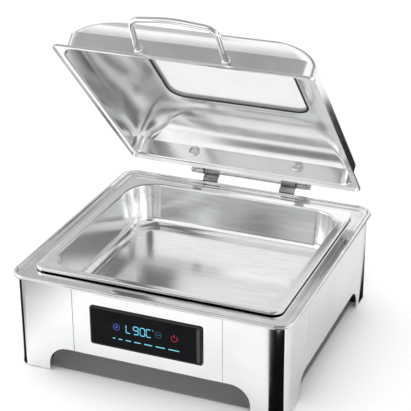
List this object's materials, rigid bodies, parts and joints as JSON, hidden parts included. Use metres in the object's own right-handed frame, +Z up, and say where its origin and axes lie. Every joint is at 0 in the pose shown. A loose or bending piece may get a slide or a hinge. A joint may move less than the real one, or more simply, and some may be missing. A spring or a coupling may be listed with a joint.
{
  "type": "electric chafing dish",
  "caption": "Electric food warmer: square polished steel base with a touch panel, drop-in food pan and a hinged dome lid with a glass window and a bar handle.",
  "frame": {"origin": "on the table, at the middle of the base casing", "axes": "+Z up, +Y towards the lid hinge, +X to the right of someone facing the control panel"},
  "size_m": [0.402, 0.4023, 0.4886],
  "materials": {
    "polished_steel": "mirror-polished stainless steel",
    "satin_steel": "satin stainless steel",
    "bright_chrome": "bright polished",
    "zinc_steel": "plain sheet steel, inside the casing",
    "black_rubber": "matt black",
    "black_glass": "gloss black",
    "clear_glass": "clear toughened",
    "black_plastic": "satin black",
    "silver_plastic": "silver grey",
    "white_plastic": "off-white",
    "green_board": "lacquered circuit board",
    "cast_aluminium": "as cast",
    "lamp_cyan": "lit cyan",
    "brass_metal": "plain",
    "red_sleeve": "silicone sleeve"
  },
  "bodies": {
    "base": {"corner_post_front_left": "polished_steel", "corner_post_front_right": "polished_steel", "corner_post_rear_left": "polished_steel", "corner_post_rear_right": "polished_steel", "front_panel": "polished_steel", "rear_panel": "polished_steel", "left_panel": "polished_steel", "right_panel": "polished_steel", "foot_pads": "black_rubber", "seam_straps": "zinc_steel", "top_frame": "zinc_steel", "water_pan": "polished_steel", "food_pan": "satin_steel", "control_bezel": "silver_plastic", "control_glass": "black_glass", "control_case": "black_plastic", "control_board": "green_board", "digit_display": "lamp_cyan", "touch_pads": "black_plastic", "level_lamps": "lamp_cyan", "heater_plate": "cast_aluminium", "heating_element": "zinc_steel", "thermal_cutout": "white_plastic", "temperature_probe": "satin_steel", "heat_shield": "zinc_steel", "shield_spacers": "zinc_steel", "bottom_cover": "satin_steel", "cover_screws": "zinc_steel", "corner_gussets": "zinc_steel", "mains_inlet": "black_plastic", "inlet_blades": "brass_metal", "inlet_screws": "zinc_steel", "power_board": "green_board", "board_standoffs": "brass_metal", "transformer": "black_plastic", "heater_relay": "black_plastic", "terminal_block": "white_plastic", "heater_leads": "red_sleeve", "supply_leads": "black_plastic", "signal_cable": "black_plastic", "hinge_bracket_left": "bright_chrome", "hinge_bracket_right": "bright_chrome", "bracket_screws": "bright_chrome", "bracket_nuts": "zinc_steel", "hinge_rod": "bright_chrome", "friction_washers": "black_plastic", "rod_end_caps": "bright_chrome"},
    "lid": {"lid_shell": "polished_steel", "lid_window": "clear_glass", "window_seal": "black_rubber", "window_frame": "satin_steel", "hinge_arm_left": "bright_chrome", "hinge_arm_right": "bright_chrome", "arm_screws": "bright_chrome", "handle_bar": "bright_chrome", "handle_bosses": "bright_chrome", "handle_screws": "bright_chrome"}
  },
  "joints": [
    {"name": "lid_hinge", "type": "hinge", "parent": "base", "child": "lid", "pos_m": [0, 0.205, 0.1505], "axis": [-1, 0, 0], "range_deg": [-46.5, 43.5]}
  ]
}
